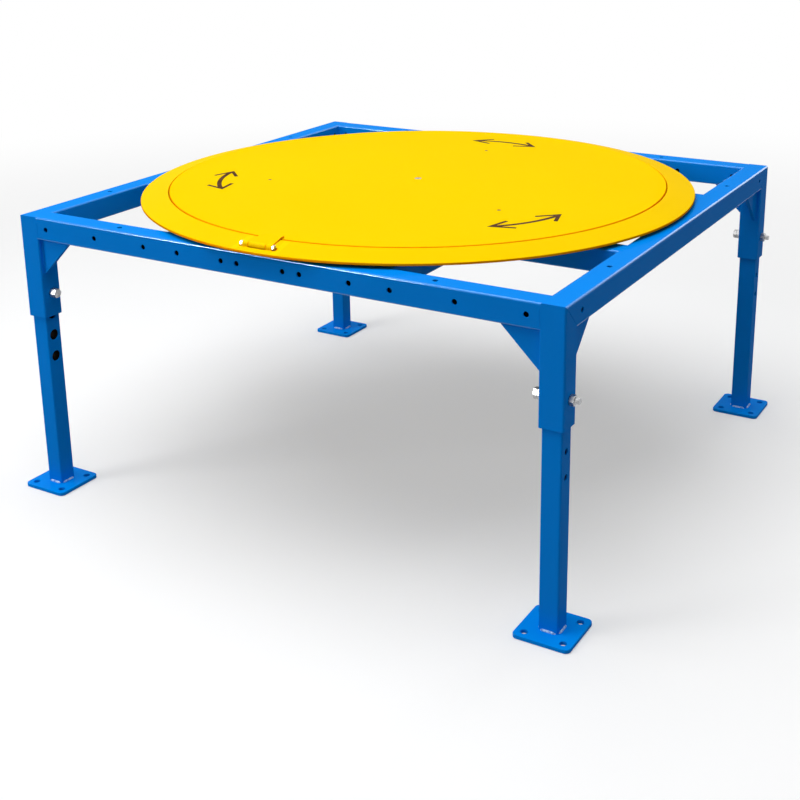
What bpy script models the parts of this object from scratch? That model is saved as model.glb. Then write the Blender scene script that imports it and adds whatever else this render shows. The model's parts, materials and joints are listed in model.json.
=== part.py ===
"""Pallet turntable on a height-adjustable welded stand.

Metres, +Z up. X runs along the front rail, Y to the back. The origin is on the
floor, under the middle of the disc. The latch is at the front, at -Y.
"""

from math import asin, atan2, cos, hypot, pi, radians, sin, sqrt

import bmesh
import bpy
from mathutils import Matrix, Vector

# Clearance kept between two pieces that touch.
gap = 0.0003

# Stand
frame_width = 1.290
frame_depth = 1.215
frame_top = 0.640
tube_size = 0.050
tube_wall = 0.003
tube_corner = 0.006
leg_clearance = 0.002
leg_wall = 0.003
leg_corner = 0.005
post_length = 0.230
leg_overlap = 0.110
beam_offset = 0.245
tie_offset = 0.231

# Gusset plates
gusset_leg = 0.078
gusset_tip = 0.004
gusset_thickness = 0.008
gusset_setback = 0.010

# Fixing holes in the rails
rail_hole = 0.011
middle_hole_places = (0.055, 0.094, 0.206, 0.295)
end_hole_insets = (0.215, 0.075)
side_hole_inset = 0.0695
top_hole_inset_x = 0.267
top_hole_inset_y = 0.2515

# Feet
foot_size = 0.115
foot_thickness = 0.008
foot_corner = 0.011
foot_hole = 0.014
foot_hole_spacing = 0.078

# Leg fastening
bolt_radius = 0.006
bolt_clearance = 0.0005
bolt_drop = 0.176
adjust_pitch = 0.050
adjust_steps = 4
leg_access_hole = 0.024
nut_across_flats = 0.019
nut_height = 0.010
bolt_head_height = 0.0075
thread_end = 0.009

# Turntable unit, radii and heights above the stand
base_inset = 0.036
base_thickness = 0.005
disc_radius = 0.565
disc_thickness = 0.006
disc_height = 0.025
edge_chamfer = 0.001
ring_gap = 0.002
ring_width = 0.061
ring_drop = 0.001
ring_edge_height = 0.012
ring_thickness = 0.005
ring_wall = 0.006
ring_wall_inset = 0.005

# Pivot
hub_radius = 0.020
bush_wall = 0.0044
collar_wall = 0.011
centre_head_radius = 0.008
centre_head_height = 0.0027
centre_shank_radius = 0.004

# Ball race
race_thickness = 0.0025
race_inner_radius = 0.330
race_outer_radius = 0.420
ball_circle_radius = 0.390
ball_count = 24
ball_segments = 8
ball_rings = 4
cage_width = 0.030
cage_thickness = 0.0024
race_screw_circle = 0.342
race_screw_head_radius = 0.0045
race_screw_head_height = 0.0025
race_screw_radius = 0.0025
race_screw_count = 3

# Latch
latch_axis_inset = 0.022
lift_clearance = 0.00056
knuckle_radius = 0.006
knuckle_gap = 0.0005
tongue_knuckle_width = 0.041
ring_knuckle_width = 0.0145
tongue_width = 0.050
tongue_thickness = 0.003
tongue_root = 0.008
tongue_bite = 0.010
tongue_clearance = 0.001
neck_overlap = 0.001
pin_radius = 0.003
pin_across_flats = 0.010
pin_head_height = 0.004
pin_nut_height = 0.005
pin_end = 0.0015

# Sides of round shapes
round_steps = 72
hidden_steps = 48
small_steps = 24
bore_steps = 16
hole_steps = 12
corner_steps = 3

sharp_angle = radians(35)
cut_reach = 0.010  # how far a cutter runs past what it cuts

leg_size = tube_size - 2 * tube_wall - 2 * leg_clearance

post_x = (frame_width - tube_size) / 2
post_y = (frame_depth - tube_size) / 2
rail_z = frame_top - tube_size / 2
inner_x = frame_width / 2 - tube_size
inner_y = frame_depth / 2 - tube_size
front_hole_places = middle_hole_places + tuple(frame_width / 2 - x for x in end_hole_insets)
bolt_z = frame_top - bolt_drop
corners = {
    "front_left": (-1, -1),
    "front_right": (1, -1),
    "rear_left": (-1, 1),
    "rear_right": (1, 1),
}

base_top = frame_top + gap + base_thickness
disc_top = frame_top + disc_height
disc_bottom = disc_top - disc_thickness
ring_inner_radius = disc_radius + ring_gap
ring_outer_radius = ring_inner_radius + ring_width
ring_slope = (disc_height - ring_drop - ring_edge_height) / ring_width
base_radius = ring_outer_radius - base_inset

# The tongue's own section, seen from the latch axis: its underside clears the disc's edge at rest.
latch_axis_radius = ring_outer_radius - latch_axis_inset
latch_y = -latch_axis_radius
latch_z = disc_top - knuckle_radius
tongue_edge = latch_axis_radius - disc_radius
tongue_level = disc_top - latch_z
tongue_under = tongue_level - tongue_thickness
latch_lift = asin((tongue_level + lift_clearance) / hypot(tongue_edge, tongue_under))
latch_lift -= atan2(tongue_under, tongue_edge)
barrel_half = tongue_knuckle_width / 2 + knuckle_gap + ring_knuckle_width


def clear_scene():
    for obj in list(bpy.data.objects):
        bpy.data.objects.remove(obj, do_unlink=True)


def make_material(name, colour, roughness, metallic):
    material = bpy.data.materials.new(name)
    material.use_nodes = True
    shader = material.node_tree.nodes["Principled BSDF"]
    shader.inputs["Base Color"].default_value = (*colour, 1.0)
    shader.inputs["Roughness"].default_value = roughness
    shader.inputs["Metallic"].default_value = metallic
    return material


def add_object(name, bm, material, place=(0, 0, 0), turn=None, parent=None):
    """Turns a bmesh into a named object with its own material."""
    bmesh.ops.recalc_face_normals(bm, faces=bm.faces)
    mesh = bpy.data.meshes.new(name)
    bm.to_mesh(mesh)
    bm.free()
    mesh.materials.append(material)
    mesh.shade_smooth()
    mesh.set_sharp_from_angle(angle=sharp_angle)
    obj = bpy.data.objects.new(name, mesh)
    bpy.context.scene.collection.objects.link(obj)
    obj.location = place
    if turn:
        obj.rotation_euler = turn
    obj.parent = parent
    return obj


def add_cutter(name, bm, parent=None, place=(0, 0, 0), turn=None):
    obj = add_object(name, bm, helper_material, place, turn, parent)
    obj.hide_render = True
    obj.display_type = "WIRE"
    return obj


def combine(obj, other, operation):
    modifier = obj.modifiers.new(f"{operation.lower()} {other.name}", "BOOLEAN")
    modifier.operation = operation
    modifier.object = other
    modifier.solver = "EXACT"


def rounded_rectangle(width, depth, radius, steps=corner_steps):
    points = []
    centres = ((1, 1), (-1, 1), (-1, -1), (1, -1))
    for quarter, (sx, sy) in enumerate(centres):
        for step in range(steps + 1):
            angle = pi / 2 * (quarter + step / steps)
            x = sx * (width / 2 - radius) + radius * cos(angle)
            y = sy * (depth / 2 - radius) + radius * sin(angle)
            points.append((x, y))
    return points


def circle(radius, steps=small_steps):
    return [
        (radius * cos(2 * pi * k / steps), radius * sin(2 * pi * k / steps))
        for k in range(steps)
    ]


def hexagon(across_flats):
    """A hexagon with a point in the middle of each flat, twelve in all."""
    radii = (across_flats / 2 / cos(pi / 6), across_flats / 2)
    return [
        (radii[k % 2] * cos(k * pi / 6), radii[k % 2] * sin(k * pi / 6)) for k in range(hole_steps)
    ]


def at_height(outline, height):
    return [(x, y, height) for x, y in outline]


def stack(loops, closed=False, bm=None):
    """Joins loops of equal length in turn. Closed joins the last one to the first; open caps both."""
    bm = bm or bmesh.new()
    rings = [[bm.verts.new(point) for point in loop] for loop in loops]
    pairs = list(zip(rings, rings[1:] + rings[:1])) if closed else list(zip(rings, rings[1:]))
    for lower, upper in pairs:
        count = len(lower)
        for k in range(count):
            n = (k + 1) % count
            bm.faces.new((lower[k], lower[n], upper[n], upper[k]))
    if not closed:
        bm.faces.new(rings[0])
        bm.faces.new(rings[-1])
    return bm


def turned(profile, steps=round_steps, closed=True):
    """Revolves (radius, height) points about Z. A closed profile is a ring, an open one a solid."""
    return stack([at_height(circle(radius, steps), height) for radius, height in profile], closed)


def plate(outline, low, high):
    return stack([at_height(outline, low), at_height(outline, high)])


def box(low, high):
    (x0, y0, z0), (x1, y1, z1) = low, high
    return plate([(x0, y0), (x1, y0), (x1, y1), (x0, y1)], z0, z1)


def cylinders(places, radius, low, high, steps=hole_steps):
    """Separate upright cylinders in one mesh, for cutting a pattern of holes."""
    bm = bmesh.new()
    for px, py in places:
        outline = [(px + x, py + y) for x, y in circle(radius, steps)]
        stack([at_height(outline, low), at_height(outline, high)], bm=bm)
    return bm


def tube(size, wall, corner, low, high, low_slope=0.0, high_slope=0.0):
    """A square tube along Z. The slopes mitre its ends across Y."""
    outer = rounded_rectangle(size, size, corner)
    inner = rounded_rectangle(size - 2 * wall, size - 2 * wall, corner - wall / 2)

    def end(outline, height, slope):
        return [(x, y, height + slope * y) for x, y in outline]

    return stack(
        [
            end(outer, low, low_slope),
            end(outer, high, high_slope),
            end(inner, high, high_slope),
            end(inner, low, low_slope),
        ],
        closed=True,
    )


def along_x(sign=1):
    return (0, sign * pi / 2, 0)


def along_y():
    return (-pi / 2, 0, 0)


def front_and_rear_rails():
    half = inner_x - gap
    for name, side in (("front_rail", -1), ("rear_rail", 1)):
        rail = add_object(
            name,
            tube(tube_size, tube_wall, tube_corner, -half, half),
            blue_paint,
            (0, side * post_y, rail_z),
            along_x(),
        )
        through = [(sign * x, rail_z) for x in front_hole_places for sign in (-1, 1)]
        across = add_cutter(
            f"{name}_face_holes",
            cylinders(through, rail_hole / 2, -tube_size, tube_size),
            place=(0, side * post_y, 0),
            turn=(pi / 2, 0, 0),
        )
        combine(rail, across, "DIFFERENCE")
        top_places = [(sign * (frame_width / 2 - top_hole_inset_x), 0) for sign in (-1, 1)]
        down = add_cutter(
            f"{name}_top_holes",
            cylinders(top_places, rail_hole / 2, 0, tube_size),
            place=(0, side * post_y, rail_z),
        )
        combine(rail, down, "DIFFERENCE")


def side_rails():
    half = (frame_depth - tube_size) / 2
    for name, side in (("left_rail", -1), ("right_rail", 1)):
        rail = add_object(
            name,
            tube(tube_size, tube_wall, tube_corner, -half, half, 1.0, -1.0),
            blue_paint,
            (side * post_x, 0, rail_z),
            along_y(),
        )
        ends = [(rail_z, sign * (frame_depth / 2 - side_hole_inset)) for sign in (-1, 1)]
        across = add_cutter(
            f"{name}_face_holes",
            cylinders([(-z, y) for z, y in ends], rail_hole / 2, -tube_size, tube_size),
            place=(side * post_x, 0, 0),
            turn=along_x(),
        )
        combine(rail, across, "DIFFERENCE")
        top_places = [(0, sign * (frame_depth / 2 - top_hole_inset_y)) for sign in (-1, 1)]
        down = add_cutter(
            f"{name}_top_holes",
            cylinders(top_places, rail_hole / 2, 0, tube_size),
            place=(side * post_x, 0, rail_z),
        )
        combine(rail, down, "DIFFERENCE")


def cross_beams():
    half = inner_y - gap
    for name, side in (("left", -1), ("right", 1)):
        add_object(
            f"cross_beam_{name}",
            tube(tube_size, tube_wall, tube_corner, -half, half),
            blue_paint,
            (side * beam_offset, 0, rail_z),
            along_y(),
        )
    beam_face = beam_offset + tube_size / 2
    spans = {
        "left": (-inner_x, -beam_face),
        "middle": (tube_size / 2 - beam_offset, beam_offset - tube_size / 2),
        "right": (beam_face, inner_x),
    }
    for row, side in (("front", -1), ("rear", 1)):
        for name, (low, high) in spans.items():
            add_object(
                f"cross_tie_{row}_{name}",
                tube(tube_size, tube_wall, tube_corner, low + gap, high - gap),
                blue_paint,
                (0, side * tie_offset, rail_z),
                along_x(),
            )


def post(name, sx, sy):
    bottom = frame_top - post_length
    mitred = add_object(
        f"post_{name}",
        tube(tube_size, tube_wall, tube_corner, bottom, rail_z - sqrt(2) * gap, 0.0, float(sy)),
        blue_paint,
        (sx * post_x, sy * post_y, 0),
    )
    hole = add_cutter(
        f"post_{name}_bolt_hole",
        cylinders([(-bolt_z, 0)], bolt_radius + bolt_clearance, -tube_size, tube_size),
        place=(sx * post_x, sy * post_y, 0),
        turn=along_x(),
    )
    combine(mitred, hole, "DIFFERENCE")


def gussets(name, sx, sy):
    """Two corner plates under each corner of the frame, set back from its outer faces."""
    outline = [
        (gap, -gap),
        (gusset_leg, -gap),
        (gusset_leg, -gap - gusset_tip),
        (gap + gusset_tip, -gusset_leg),
        (gap, -gusset_leg),
    ]
    under = frame_top - tube_size
    outer = gusset_setback
    across = [(-sx * x, z) for x, z in outline]
    faces = (sy * (frame_depth / 2 - outer), sy * (frame_depth / 2 - outer - gusset_thickness))
    bm = stack([[(sx * inner_x + x, y, under + z) for x, z in across] for y in faces])
    add_object(f"gusset_{name}_across", bm, blue_paint)
    back = [(-sy * y, z) for y, z in outline]
    faces = (sx * (frame_width / 2 - outer), sx * (frame_width / 2 - outer - gusset_thickness))
    bm = stack([[(x, sy * inner_y + y, under + z) for y, z in back] for x in faces])
    add_object(f"gusset_{name}_along", bm, blue_paint)


def leg(name, sx, sy):
    """An inner tube with a row of bolt holes outside and of wide access holes inside."""
    low = foot_thickness + gap
    high = frame_top - post_length + leg_overlap
    inner = add_object(
        f"leg_{name}",
        tube(leg_size, leg_wall, leg_corner, low, high),
        blue_paint,
        (sx * post_x, sy * post_y, 0),
    )
    places = [(-sx * (bolt_z - step * adjust_pitch), 0) for step in range(adjust_steps)]
    for kind, radius, reach in (
        ("bolt", bolt_radius + bolt_clearance, (0, tube_size)),
        ("access", leg_access_hole / 2, (-tube_size, 0)),
    ):
        holes = add_cutter(
            f"leg_{name}_{kind}_holes",
            cylinders(places, radius, *reach),
            place=(sx * post_x, sy * post_y, 0),
            turn=along_x(sx),
        )
        combine(inner, holes, "DIFFERENCE")


def foot(name, sx, sy):
    outline = rounded_rectangle(foot_size, foot_size, foot_corner)
    foot_plate = add_object(
        f"foot_plate_{name}",
        plate(outline, 0, foot_thickness),
        blue_paint,
        (sx * post_x, sy * post_y, 0),
    )
    half = foot_hole_spacing / 2
    places = [(x, y) for x in (-half, half) for y in (-half, half)]
    holes = add_cutter(
        f"foot_plate_{name}_holes",
        cylinders(places, foot_hole / 2, -foot_thickness, 2 * foot_thickness),
        place=(sx * post_x, sy * post_y, 0),
    )
    combine(foot_plate, holes, "DIFFERENCE")


def nut(name, across_flats, bore, low, high, place, turn):
    flats = hexagon(across_flats)
    round_hole = circle(bore, hole_steps)
    loops = [at_height(flats, low), at_height(flats, high)]
    loops += [at_height(round_hole, high), at_height(round_hole, low)]
    return add_object(name, stack(loops, closed=True), zinc, place, turn)


def hex_bolt(name, across_flats, head, shank, low, high, place, turn):
    """A hexagon head under the height low, and a shank from there up to high."""
    flats = hexagon(across_flats)
    rod = circle(shank, hole_steps)
    loops = [at_height(flats, low - head), at_height(flats, low)]
    loops += [at_height(rod, low), at_height(rod, high)]
    return add_object(name, stack(loops), zinc, place, turn)


def leg_fastening(name, sx, sy):
    """A bolt through post and leg: head and spacer nut inside the stand, locknut outside."""
    place = (sx * post_x, sy * post_y, bolt_z)
    turn = along_x(sx)
    face = tube_size / 2 + gap
    bore = bolt_radius + gap
    nut(f"spacer_nut_{name}", nut_across_flats, bore, -face - nut_height, -face, place, turn)
    nut(f"locknut_{name}", nut_across_flats, bore, face, face + nut_height, place, turn)
    under_head = -face - nut_height - gap
    end = face + nut_height + thread_end
    sizes = (nut_across_flats, bolt_head_height, bolt_radius)
    hex_bolt(f"leg_bolt_{name}", *sizes, under_head, end, place, turn)


def base_plate():
    profile = [
        (centre_shank_radius, frame_top + gap),
        (base_radius, frame_top + gap),
        (base_radius, base_top),
        (centre_shank_radius, base_top),
    ]
    add_object("base_plate", turned(profile, hidden_steps), yellow_paint)


def knuckle(width, middle, radius=knuckle_radius, steps=small_steps):
    """A cylinder along X about the latch axis, in world coordinates."""
    bm = plate(circle(radius, steps), middle - width / 2, middle + width / 2)
    bm.transform(Matrix.Rotation(pi / 2, 4, "Y"))
    bm.transform(Matrix.Translation((0, latch_y, latch_z)))
    return bm


def ring_top(radius):
    return frame_top + ring_edge_height + (ring_outer_radius - radius) * ring_slope


def ramp_ring():
    """The sloping skirt round the disc, on a wall that stands on the base plate."""
    wall_in = ring_inner_radius + ring_wall_inset
    wall_out = wall_in + ring_wall
    foot_height = base_top + gap
    profile = [
        (ring_outer_radius, ring_top(ring_outer_radius) - ring_thickness),
        (ring_outer_radius, ring_top(ring_outer_radius)),
        (ring_inner_radius, ring_top(ring_inner_radius)),
        (ring_inner_radius, ring_top(ring_inner_radius) - ring_thickness),
        (wall_in, ring_top(wall_in) - ring_thickness),
        (wall_in, foot_height),
        (wall_out, foot_height),
        (wall_out, ring_top(wall_out) - ring_thickness),
    ]
    ring = add_object("ramp_ring", turned(profile), yellow_paint)
    side = tongue_width / 2 + tongue_clearance
    root = latch_y + tongue_root - tongue_clearance
    above = disc_top + knuckle_radius
    seat = ring_top(wall_out) - tongue_thickness - 2 * tongue_clearance
    shelf = add_cutter(
        "ring_seat_cut",
        box((-side, root, seat), (side, ring_gap - disc_radius, above)),
    )
    combine(ring, shelf, "DIFFERENCE")
    slot = add_cutter(
        "ring_slot_cut",
        box((-side, root, foot_height), (side, -wall_out - tongue_clearance, above)),
    )
    combine(ring, slot, "DIFFERENCE")
    room = tongue_knuckle_width / 2 + knuckle_gap
    reach = knuckle_radius + tongue_clearance
    pocket = add_cutter(
        "ring_knuckle_cut",
        box((-room, latch_y - reach, foot_height), (room, root + reach, above)),
    )
    combine(ring, pocket, "DIFFERENCE")
    reach = pin_across_flats / 2 / cos(pi / 6) + gap
    for name, sign in (("left", -1), ("right", 1)):
        near, far = barrel_half - gap, barrel_half + pin_nut_height + pin_end + tongue_clearance
        low_x, high_x = sorted((sign * near, sign * far))
        scoop = box((low_x, latch_y - reach, latch_z - reach), (high_x, latch_y + reach, above))
        combine(ring, add_cutter(f"ring_scoop_{name}", scoop), "DIFFERENCE")
    for name, sign in (("left", -1), ("right", 1)):
        middle = sign * (tongue_knuckle_width / 2 + knuckle_gap + ring_knuckle_width / 2)
        ear = add_cutter(f"ring_knuckle_{name}", knuckle(ring_knuckle_width, middle))
        combine(ring, ear, "UNION")
    bore = add_cutter("ring_pin_bore", knuckle(2 * tongue_width, 0, pin_radius + gap, bore_steps))
    combine(ring, bore, "DIFFERENCE")


def race_screw_places():
    start = pi / 2
    return [
        (race_screw_circle * cos(start + 2 * pi * k / race_screw_count),
         race_screw_circle * sin(start + 2 * pi * k / race_screw_count))
        for k in range(race_screw_count)
    ]


def turntable_disc(axle):
    """The deck: a recess for the centre screw, three screw recesses and the latch notch."""
    recess = disc_top - centre_head_height - 2 * gap
    profile = [
        (centre_shank_radius + 2 * gap, disc_bottom),
        (disc_radius, disc_bottom),
        (disc_radius, disc_top - edge_chamfer),
        (disc_radius - edge_chamfer, disc_top),
        (centre_head_radius + 2 * gap, disc_top),
        (centre_head_radius + 2 * gap, recess),
        (centre_shank_radius + 2 * gap, recess),
    ]
    disc = add_object("turntable_disc", turned(profile), yellow_paint, parent=axle)
    side = tongue_width / 2 + tongue_clearance
    inner = disc_radius - tongue_bite - tongue_clearance
    low, high = disc_bottom - cut_reach, disc_top + cut_reach
    notch = box((-side, -disc_radius - cut_reach, low), (side, -inner, high))
    combine(disc, add_cutter("disc_notch_cut", notch, axle), "DIFFERENCE")
    places = race_screw_places()
    seat = disc_top - race_screw_head_height - 2 * gap
    heads = cylinders(places, race_screw_head_radius + gap, seat, high)
    combine(disc, add_cutter("disc_screw_heads_cut", heads, axle), "DIFFERENCE")
    shanks = cylinders(places, race_screw_radius + gap, low, high)
    combine(disc, add_cutter("disc_screw_holes_cut", shanks, axle), "DIFFERENCE")


def pivot(axle):
    """Hub and screw stand on the base; bush and collar turn with the disc."""
    hub_low = base_top + gap
    hub_high = disc_bottom - gap
    bore = centre_shank_radius + gap

    def sleeve(inner, outer, low):
        section = [(inner, low), (outer, low), (outer, hub_high), (inner, hub_high)]
        return turned(section, small_steps)

    add_object("pivot_hub", sleeve(bore, hub_radius, hub_low), bright_steel)
    bush_inner = hub_radius + gap
    bush_outer = bush_inner + bush_wall
    bush = sleeve(bush_inner, bush_outer, hub_low + gap)
    add_object("pivot_bush", bush, bronze, parent=axle)
    collar_inner = bush_outer + gap
    collar = sleeve(collar_inner, collar_inner + collar_wall, hub_low + gap)
    add_object("disc_collar", collar, yellow_paint, parent=axle)
    head_top = disc_top - gap
    under_head = head_top - centre_head_height
    screw = [
        (centre_head_radius - edge_chamfer, head_top),
        (centre_head_radius, head_top - edge_chamfer),
        (centre_head_radius, under_head),
        (centre_shank_radius, under_head),
        (centre_shank_radius, base_top + gap),
    ]
    add_object("centre_screw", turned(screw, small_steps, closed=False), zinc)


def race(name, low, axle=None):
    profile = [
        (race_inner_radius, low),
        (race_outer_radius, low),
        (race_outer_radius, low + race_thickness),
        (race_inner_radius, low + race_thickness),
    ]
    return add_object(name, turned(profile, hidden_steps), bright_steel, parent=axle)


def ball_race(axle, cage_axle):
    """Two race rings with the balls and their cage between them, and the screws of the upper one."""
    lower = base_top + gap
    upper = disc_bottom - gap - race_thickness
    race("lower_race", lower)
    top_race = race("upper_race", upper, axle)
    places = race_screw_places()
    holes = cylinders(places, race_screw_radius + gap, upper - cut_reach, upper + cut_reach)
    combine(top_race, add_cutter("upper_race_holes", holes, axle), "DIFFERENCE")
    for number, (x, y) in enumerate(places, 1):
        head_top = disc_top - gap
        under_head = head_top - race_screw_head_height
        screw = [
            (race_screw_head_radius, head_top),
            (race_screw_head_radius, under_head),
            (race_screw_radius, under_head),
            (race_screw_radius, upper + gap),
        ]
        screw_mesh = turned(screw, hole_steps, closed=False)
        add_object(f"race_screw_{number}", screw_mesh, zinc, (x, y, 0), parent=axle)
    ball_low = lower + race_thickness + gap
    ball_high = upper - gap
    ball_radius = (ball_high - ball_low) / 2
    middle = (ball_high + ball_low) / 2
    half = cage_width / 2
    profile = [
        (ball_circle_radius - half, middle - cage_thickness / 2),
        (ball_circle_radius + half, middle - cage_thickness / 2),
        (ball_circle_radius + half, middle + cage_thickness / 2),
        (ball_circle_radius - half, middle + cage_thickness / 2),
    ]
    cage = add_object("ball_cage", turned(profile, hidden_steps), nylon, parent=cage_axle)
    balls = bmesh.new()
    for k in range(ball_count):
        angle = 2 * pi * k / ball_count
        spot = Vector((ball_circle_radius * cos(angle), ball_circle_radius * sin(angle), middle))
        place = Matrix.Translation(spot)
        bmesh.ops.create_uvsphere(
            balls, u_segments=ball_segments, v_segments=ball_rings, radius=ball_radius, matrix=place
        )
    combine(cage, add_cutter("cage_balls", balls, cage_axle), "UNION")


def latch():
    """The tongue turns on its pin. At rest it is lifted just clear of the disc."""
    hinge = bpy.data.objects.new("latch_axis", None)
    bpy.context.scene.collection.objects.link(hinge)
    hinge.location = (0, latch_y, latch_z)
    hinge.rotation_euler = (latch_lift, 0, 0)
    tip = tongue_edge + tongue_bite
    root_level = ring_top(latch_axis_radius - tongue_root) - latch_z
    root_under = root_level - tongue_thickness
    top = [(tongue_root, root_level), (tongue_edge, tongue_level), (tip, tongue_level)]
    bottom = [(tip, tongue_under), (tongue_edge, tongue_under), (tongue_root, root_under)]
    outline = top + bottom
    half = tongue_width / 2
    bm = stack([[(x, y, z) for y, z in outline] for x in (-half, half)])
    tongue = add_object("latch_tongue", bm, yellow_paint, parent=hinge)
    half = tongue_knuckle_width / 2
    neck_end = tongue_root + neck_overlap
    neck = [(0, 0), (0, -tongue_thickness), (neck_end, root_under), (neck_end, root_level)]
    bm = stack([[(x, y, z) for y, z in neck] for x in (-half, half)])
    combine(tongue, add_cutter("tongue_neck", bm, hinge), "UNION")
    bm = plate(circle(knuckle_radius), -half, half)
    bm.transform(Matrix.Rotation(pi / 2, 4, "Y"))
    combine(tongue, add_cutter("tongue_knuckle", bm, hinge), "UNION")
    bm = plate(circle(pin_radius + gap, bore_steps), -2 * half, 2 * half)
    bm.transform(Matrix.Rotation(pi / 2, 4, "Y"))
    combine(tongue, add_cutter("tongue_bore", bm, hinge), "DIFFERENCE")
    barrel = barrel_half + gap
    place = (0, latch_y, latch_z)
    turn = along_x(-1)
    far = barrel + pin_nut_height + pin_end
    hex_bolt("latch_pin", pin_across_flats, pin_head_height, pin_radius, -barrel, far, place, turn)
    nut("latch_nut", pin_across_flats, pin_radius + gap, barrel, barrel + pin_nut_height, place, turn)


def axle_empty(name):
    empty = bpy.data.objects.new(name, None)
    bpy.context.scene.collection.objects.link(empty)
    return empty


clear_scene()
blue_paint = make_material("blue_paint", (0.0, 0.13, 0.50), 0.28, 0.0)
yellow_paint = make_material("yellow_paint", (1.0, 0.70, 0.0), 0.38, 0.0)
zinc = make_material("zinc_plate", (0.72, 0.73, 0.75), 0.30, 1.0)
bright_steel = make_material("bright_steel", (0.55, 0.56, 0.58), 0.28, 1.0)
bronze = make_material("bronze", (0.55, 0.33, 0.12), 0.35, 1.0)
nylon = make_material("nylon", (0.75, 0.74, 0.70), 0.5, 0.0)
helper_material = make_material("helper", (0.5, 0.5, 0.5), 1.0, 0.0)

front_and_rear_rails()
side_rails()
cross_beams()
for corner, (side_x, side_y) in corners.items():
    post(corner, side_x, side_y)
    gussets(corner, side_x, side_y)
    leg(corner, side_x, side_y)
    foot(corner, side_x, side_y)
    leg_fastening(corner, side_x, side_y)
base_plate()
ramp_ring()
disc_axle = axle_empty("disc_axis")
cage_axle_empty = axle_empty("cage_axis")
turntable_disc(disc_axle)
pivot(disc_axle)
ball_race(disc_axle, cage_axle_empty)
latch()
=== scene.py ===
import json
from math import asin, atan2, cos, hypot, pi, radians, sin, tan

import bmesh
import bpy
from mathutils import Matrix, Vector


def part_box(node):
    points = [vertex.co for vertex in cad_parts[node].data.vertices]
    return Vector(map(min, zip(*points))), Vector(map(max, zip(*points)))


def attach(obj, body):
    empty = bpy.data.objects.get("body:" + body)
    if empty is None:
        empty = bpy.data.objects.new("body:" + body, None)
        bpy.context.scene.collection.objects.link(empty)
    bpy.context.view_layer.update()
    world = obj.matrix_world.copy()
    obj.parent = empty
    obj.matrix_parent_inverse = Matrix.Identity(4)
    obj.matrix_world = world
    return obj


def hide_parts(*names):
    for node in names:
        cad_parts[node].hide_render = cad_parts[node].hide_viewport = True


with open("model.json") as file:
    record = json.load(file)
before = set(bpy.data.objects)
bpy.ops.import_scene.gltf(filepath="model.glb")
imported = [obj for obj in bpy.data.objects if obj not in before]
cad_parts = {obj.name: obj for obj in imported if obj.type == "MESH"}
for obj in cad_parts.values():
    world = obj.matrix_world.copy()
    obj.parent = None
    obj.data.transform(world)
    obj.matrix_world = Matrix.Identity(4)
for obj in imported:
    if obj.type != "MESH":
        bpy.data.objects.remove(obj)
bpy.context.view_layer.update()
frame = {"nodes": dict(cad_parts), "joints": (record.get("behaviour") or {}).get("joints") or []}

gap = 0.0003  # between pieces that touch
print("frame loaded")


bluePaint = {
    "name": "bluePowderCoat", "tones": ((0.0, 0.226, 0.77), (0.0, 0.244, 0.83)), "toneScale": 2.4,
    "roughness": (0.26, 0.38), "roughnessScale": 14.0, "grainScale": 520.0, "grainDepth": 0.00005,
    "specular": 0.0, "coat": 0.05, "coatRoughness": 0.05, "dust": 0.001,
}
blueEdge = dict(bluePaint, name="blueGlossyCorner", roughness=(0.08, 0.12), specular=0.6,
                shine=(0.42, 0.72, 1.0), coat=0.15, coatRoughness=0.08)
# painted light: a lighter copy of the blue for the foot plates, standing in for more light at floor level
litFootBlue = dict(bluePaint, name="footPlateBluePaintedLight", tones=((0.0, 0.265, 0.90), (0.0, 0.285, 0.96)))
# unpainted steel inside the tubes, darkened to near black as painted shade in the hollow
bareInsideShade = {
    "name": "bareTubeInsidePaintedShade", "tones": ((0.022, 0.014, 0.009), (0.050, 0.030, 0.018)), "toneScale": 60.0,
    "roughness": (0.6, 0.8), "roughnessScale": 90.0, "grainScale": 700.0, "grainDepth": 0.00008,
    "specular": 0.1,
}
yellowPaint = {
    "name": "yellowPowderCoat", "tones": ((0.91, 0.57, 0.0), (0.93, 0.60, 0.0)), "toneScale": 1.6,
    "roughness": (0.36, 0.48), "roughnessScale": 9.0, "grainScale": 520.0, "grainDepth": 0.00004,
    "specular": 0.0, "coat": 0.03, "coatRoughness": 0.06, "dust": 0.0005,
}
discPaint = dict(yellowPaint, name="yellowDiscCoat", coat=0.015, toneScale=1.1)
yellowEdgeShade = {  # painted shade: orange standing in for shadowed yellow on steep edges and in the gap
    "name": "yellowPaintedEdgeShade", "tones": ((0.98, 0.30, 0.0), (1.0, 0.37, 0.0)), "toneScale": 30.0,
    "roughness": (0.40, 0.55), "roughnessScale": 40.0, "grainScale": 520.0, "grainDepth": 0.00006,
    "specular": 0.0,
}
# painted light: a brighter yellow on the hinge barrel's round, standing in for the light falling on it
barrelLitPaint = dict(yellowPaint, name="yellowHingeBarrelPaintedLight", tones=((1.0, 0.62, 0.0), (1.0, 0.66, 0.0)),
                   coat=0.04, coatRoughness=0.02, grainDepth=0.00001)
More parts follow.
